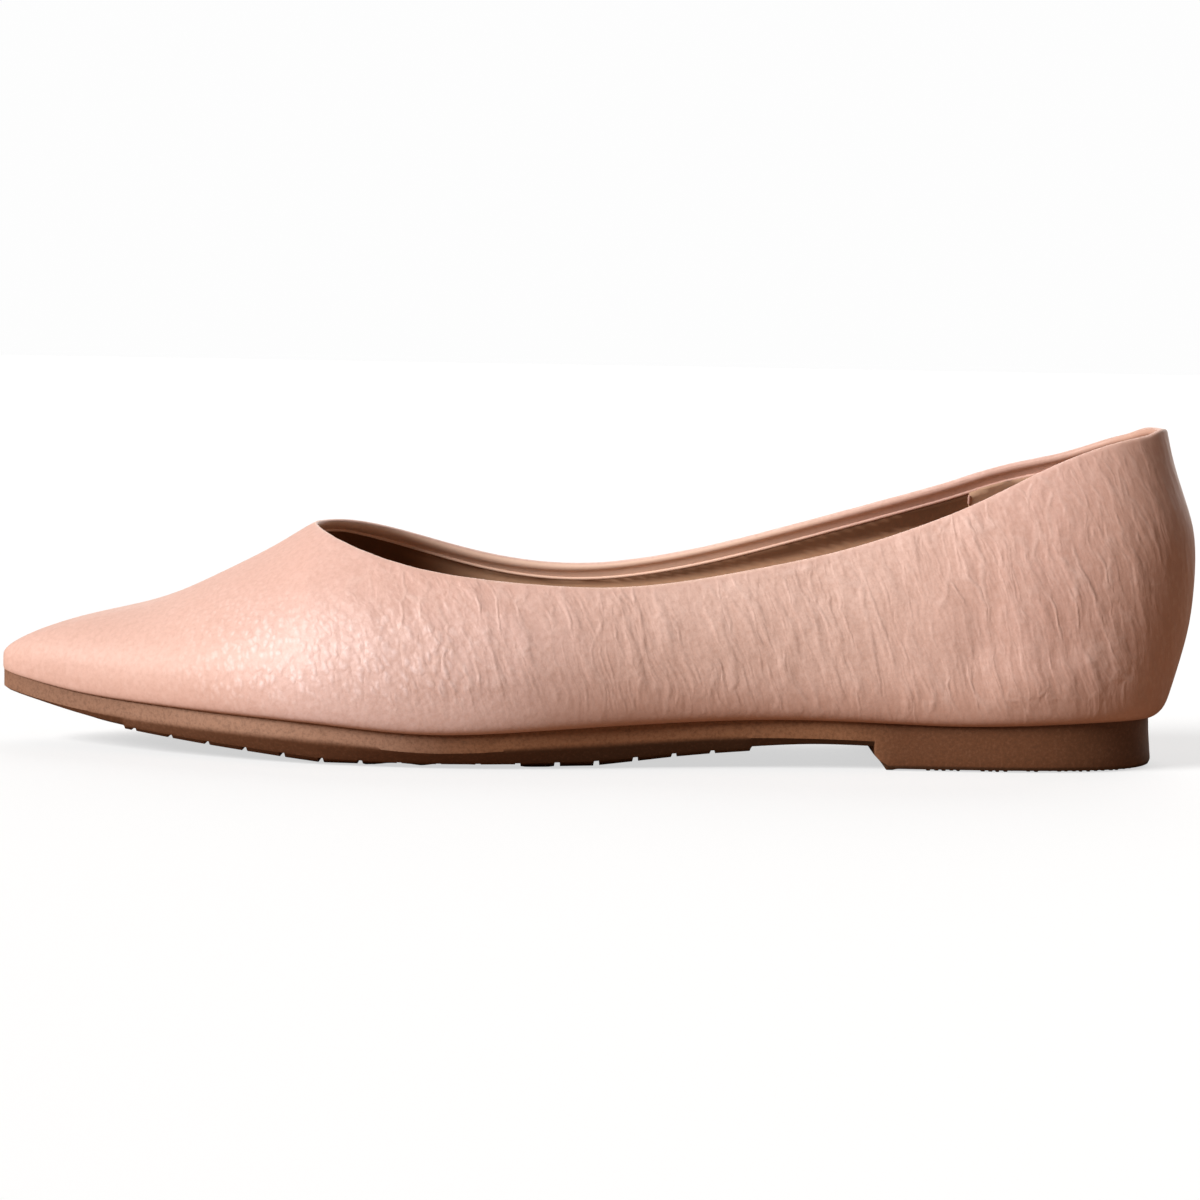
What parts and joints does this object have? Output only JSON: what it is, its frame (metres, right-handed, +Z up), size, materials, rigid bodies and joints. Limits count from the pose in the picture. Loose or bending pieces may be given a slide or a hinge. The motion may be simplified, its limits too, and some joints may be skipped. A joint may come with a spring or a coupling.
{
  "type": "pointed-toe ballet flat",
  "caption": "Low slip-on left shoe with a pointed closed toe, a scooped topline, a lasted leather upper and a thin moulded rubber sole with a low block heel.",
  "frame": {"origin": "middle of the shoe's box, on the floor that the heel and the forefoot rest on", "axes": "+Z up, +X from the toe towards the heel along the shoe's length, -Y towards the outer side of the foot"},
  "size_m": [0.262, 0.0848, 0.0726],
  "materials": {
    "upper_leather": "soft pink pebbled leather, semi-matt",
    "sole_rubber": "brown moulded rubber, matt",
    "sock_lining": "tan smooth lining, matt"
  },
  "bodies": {
    "root": {"upper": "upper_leather", "outsole": "sole_rubber", "insole": "sock_lining"}
  },
  "joints": []
}
